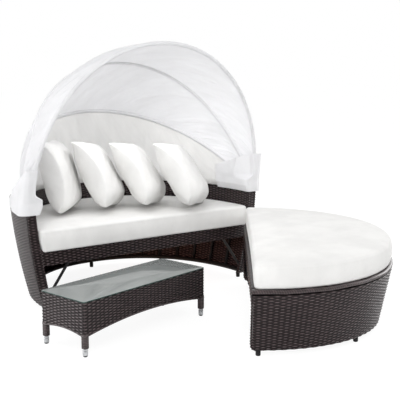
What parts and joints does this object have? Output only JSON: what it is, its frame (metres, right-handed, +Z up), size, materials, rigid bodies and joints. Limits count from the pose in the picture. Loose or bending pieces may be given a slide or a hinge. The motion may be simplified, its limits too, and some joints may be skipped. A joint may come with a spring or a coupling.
{
  "type": "outdoor daybed with canopy",
  "caption": "Half-oval woven garden daybed with a folding cloth canopy, loose cushions, a matching half-oval ottoman and a low glass-topped table.",
  "frame": {"origin": "on the ground, at the centre of the whole set's box", "axes": "+Z up; -Y towards the open front of the sofa, +Y towards its rounded back; +X to the right of someone who faces the sofa's front"},
  "size_m": [1.8382, 2.2942, 1.4429],
  "materials": {
    "woven_strand": "satin woven flat strand",
    "black_frame": "black powder coat",
    "foot_plastic": "matt black",
    "hoop_tube": "satin, in a cloth sleeve",
    "bolt_steel": "zinc plated",
    "canopy_cloth": "plain woven, white",
    "cushion_cloth": "plain woven, off-white",
    "glass": "toughened, slightly green",
    "silver_cap": "polished"
  },
  "bodies": {
    "root": {"sofa_wall_frame": "black_frame", "sofa_seat_frame": "black_frame", "sofa_outer_weave": "woven_strand", "sofa_inner_weave": "woven_strand", "sofa_rim_cap": "woven_strand", "sofa_apron": "woven_strand", "sofa_deck": "woven_strand", "sofa_end_face_left": "woven_strand", "sofa_brace_left": "black_frame", "hinge_bracket_left": "black_frame", "hinge_bolt_left": "bolt_steel", "hinge_cover_left": "canopy_cloth", "sofa_end_face_right": "woven_strand", "sofa_brace_right": "black_frame", "hinge_bracket_right": "black_frame", "hinge_bolt_right": "bolt_steel", "hinge_cover_right": "canopy_cloth", "sofa_foot_1": "foot_plastic", "sofa_foot_2": "foot_plastic", "sofa_foot_3": "foot_plastic", "sofa_foot_4": "foot_plastic", "sofa_foot_5": "foot_plastic", "canopy_panel_rear": "canopy_cloth", "seat_cushion": "cushion_cloth", "pillow_1": "cushion_cloth", "pillow_2": "cushion_cloth", "pillow_3": "cushion_cloth", "pillow_4": "cushion_cloth", "ottoman_wall_frame": "black_frame", "ottoman_seat_frame": "black_frame", "ottoman_outer_weave": "woven_strand", "ottoman_rim_cap": "woven_strand", "ottoman_end_face_left": "woven_strand", "ottoman_end_face_right": "woven_strand", "ottoman_apron": "woven_strand", "ottoman_deck": "woven_strand", "ottoman_foot_1": "foot_plastic", "ottoman_foot_2": "foot_plastic", "ottoman_foot_3": "foot_plastic", "ottoman_foot_4": "foot_plastic", "ottoman_foot_5": "foot_plastic", "ottoman_cushion": "cushion_cloth", "table_frame": "black_frame", "table_skirt": "woven_strand", "table_cap_1": "silver_cap", "table_cap_2": "silver_cap", "table_cap_3": "silver_cap", "table_cap_4": "silver_cap", "table_glass": "glass"},
    "rear_hoop": {"canopy_hoop_rear": "hoop_tube", "canopy_panel_middle": "canopy_cloth"},
    "middle_hoop": {"canopy_hoop_middle": "hoop_tube", "canopy_panel_front": "canopy_cloth"},
    "front_hoop": {"canopy_hoop_front": "hoop_tube"}
  },
  "joints": [
    {"name": "rear_fold", "type": "hinge", "parent": "root", "child": "rear_hoop", "pos_m": [-0.04711, 0.23248, 0.6], "axis": [-1, 0, 0], "range_deg": [0, 28.5], "deforming": ["canopy_panel_rear", "hinge_cover_left", "hinge_cover_right"]},
    {"name": "middle_fold", "type": "hinge", "parent": "rear_hoop", "child": "middle_hoop", "pos_m": [-0.04711, 0.23248, 0.6], "axis": [-1, 0, 0], "range_deg": [0, 28.5], "deforming": ["canopy_panel_middle"]},
    {"name": "front_fold", "type": "hinge", "parent": "middle_hoop", "child": "front_hoop", "pos_m": [-0.04711, 0.23248, 0.6], "axis": [-1, 0, 0], "range_deg": [0, 35.5], "deforming": ["canopy_panel_front"]}
  ],
  "couplings": [
    {"joint": "middle_fold", "follows": "rear_fold", "ratio": 1},
    {"joint": "front_fold", "follows": "rear_fold", "ratio": 1.2421}
  ]
}
